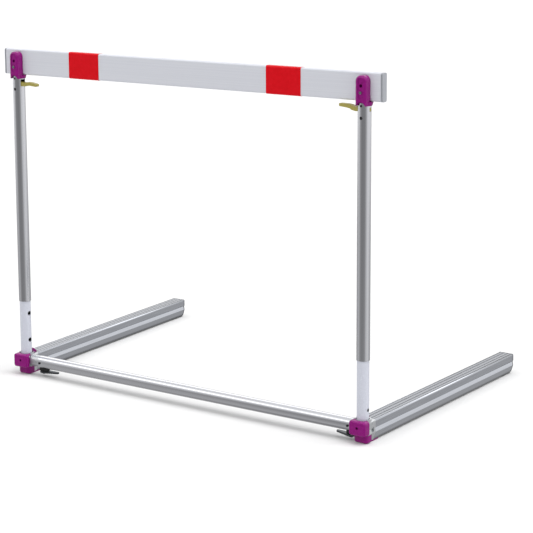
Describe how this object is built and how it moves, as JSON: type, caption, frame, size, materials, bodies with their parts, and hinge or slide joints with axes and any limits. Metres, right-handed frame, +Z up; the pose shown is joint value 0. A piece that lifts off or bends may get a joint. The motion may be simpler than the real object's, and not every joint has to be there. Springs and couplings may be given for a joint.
{
  "type": "track hurdle",
  "caption": "Adjustable track and field hurdle: a white bar with red bands on telescopic uprights with squeeze levers, standing on long hollow weighted feet.",
  "frame": {"origin": "on the ground under the middle of the hurdle's outer box", "axes": "+X along the bar, +Y to the rear, towards the feet's free ends, +Z up"},
  "size_m": [1.2, 0.7732, 0.9147],
  "materials": {
    "board_white": "extruded white PVC, satin, fine lines along its length",
    "cap_grey": "moulded grey end cap, satin",
    "band_red": "red film, smooth",
    "purple_plastic": "glossy purple injection moulding",
    "zinc_steel": "zinc plated steel",
    "satin_tube": "satin anodised tube with fine lines along its length",
    "black_plastic": "black glass filled nylon, fine grain",
    "spring_steel": "drawn spring wire",
    "mustard_plastic": "mustard yellow nylon, semi-matt",
    "white_tube": "white powder coat",
    "cast_aluminium": "bright die cast aluminium",
    "foot_aluminium": "satin anodised extrusion with lines along its length",
    "dark_plastic": "dark grey moulded plug, matt",
    "cast_iron": "black painted cast iron"
  },
  "bodies": {
    "base": {"inner_tube_left": "white_tube", "inner_tube_right": "white_tube", "tube_plug_left": "black_plastic", "tube_plug_right": "black_plastic", "tube_rivet_left": "zinc_steel", "tube_rivet_right": "zinc_steel", "tube_screw_left": "black_plastic", "tube_screw_right": "black_plastic", "clamp_block_left": "black_plastic", "clamp_block_right": "black_plastic", "clamp_bolt_left": "zinc_steel", "clamp_bolt_right": "zinc_steel", "corner_casting_left": "cast_aluminium", "corner_casting_right": "cast_aluminium", "front_cap_left": "purple_plastic", "front_cap_right": "purple_plastic", "front_cap_screw_left": "zinc_steel", "front_cap_screw_right": "zinc_steel", "upright_wedge_left": "purple_plastic", "upright_wedge_right": "purple_plastic", "side_screw_left": "zinc_steel", "side_screw_right": "zinc_steel", "foot_profile_left": "foot_aluminium", "foot_profile_right": "foot_aluminium", "rear_plug_left": "dark_plastic", "rear_plug_right": "dark_plastic", "cross_tube": "satin_tube", "spacer_collar": "cast_aluminium"},
    "upper_frame": {"top_bar": "board_white", "bar_end_cap_left": "cap_grey", "bar_end_cap_right": "cap_grey", "red_band_left": "band_red", "red_band_right": "band_red", "bar_bracket_left": "purple_plastic", "bar_bracket_right": "purple_plastic", "bracket_screw_left": "zinc_steel", "bracket_screw_right": "zinc_steel", "outer_tube_left": "satin_tube", "outer_tube_right": "satin_tube", "lever_housing_left": "black_plastic", "lever_housing_right": "black_plastic", "housing_rivet_left": "zinc_steel", "housing_rivet_right": "zinc_steel", "lock_carrier_left": "black_plastic", "lock_carrier_right": "black_plastic", "return_spring_left": "spring_steel", "return_spring_right": "spring_steel"},
    "lever_left": {"release_lever_left": "mustard_plastic"},
    "rod_left": {"pull_rod_left": "zinc_steel"},
    "pin_left": {"lock_pin_left": "zinc_steel"},
    "clamp_left": {"clamp_lever_left": "zinc_steel"},
    "weight_left": {"counterweight_left": "cast_iron", "weight_stud_left": "zinc_steel"},
    "lever_right": {"release_lever_right": "mustard_plastic"},
    "rod_right": {"pull_rod_right": "zinc_steel"},
    "pin_right": {"lock_pin_right": "zinc_steel"},
    "clamp_right": {"clamp_lever_right": "zinc_steel"},
    "weight_right": {"counterweight_right": "cast_iron", "weight_stud_right": "zinc_steel"}
  },
  "joints": [
    {"name": "height_slide", "type": "slide", "parent": "base", "child": "upper_frame", "axis": [0, 0, 1], "range_m": [-0.1524, 0.1524]},
    {"name": "lever_hinge_left", "type": "hinge", "parent": "upper_frame", "child": "lever_left", "pos_m": [-0.566, -0.35791, 0.8253], "axis": [0, -1, 0], "range_deg": [0, 12], "stiffness_Nm_per_rad": 0.512, "springref_deg": -14.32},
    {"name": "rod_slide_left", "type": "slide", "parent": "upper_frame", "child": "rod_left", "axis": [0, 0, 1], "range_m": [0, 0.00335], "deforming": ["return_spring_left"]},
    {"name": "pin_slide_left", "type": "slide", "parent": "upper_frame", "child": "pin_left", "axis": [-1, 0, 0], "range_m": [0, 0.00335]},
    {"name": "clamp_hinge_left", "type": "hinge", "parent": "base", "child": "clamp_left", "pos_m": [-0.488, -0.35591, 0.0125], "axis": [0, 0, -1], "range_deg": [0, 90]},
    {"name": "weight_slide_left", "type": "slide", "parent": "base", "child": "weight_left", "axis": [-0.0332, 0.9995, 0], "range_m": [-0.1524, 0.1524]},
    {"name": "lever_hinge_right", "type": "hinge", "parent": "upper_frame", "child": "lever_right", "pos_m": [0.566, -0.35791, 0.8253], "axis": [0, 1, 0], "range_deg": [-10, 2], "stiffness_Nm_per_rad": 0.512},
    {"name": "rod_slide_right", "type": "slide", "parent": "upper_frame", "child": "rod_right", "axis": [0, 0, 1], "range_m": [-0.00279, 0.00056], "deforming": ["return_spring_right"]},
    {"name": "pin_slide_right", "type": "slide", "parent": "upper_frame", "child": "pin_right", "axis": [1, 0, 0], "range_m": [-0.00279, 0.00056]},
    {"name": "clamp_hinge_right", "type": "hinge", "parent": "base", "child": "clamp_right", "pos_m": [0.516, -0.35591, 0.0125], "axis": [0, 0, 1], "range_deg": [0, 90]},
    {"name": "weight_slide_right", "type": "slide", "parent": "base", "child": "weight_right", "axis": [0.0332, 0.9995, 0], "range_m": [-0.1524, 0.1524]}
  ],
  "couplings": [
    {"joint": "rod_slide_left", "follows": "lever_hinge_left", "m_per_rad": 0.016},
    {"joint": "pin_slide_left", "follows": "lever_hinge_left", "m_per_rad": 0.016},
    {"joint": "rod_slide_right", "follows": "lever_hinge_right", "m_per_rad": 0.016},
    {"joint": "pin_slide_right", "follows": "lever_hinge_right", "m_per_rad": 0.016}
  ]
}
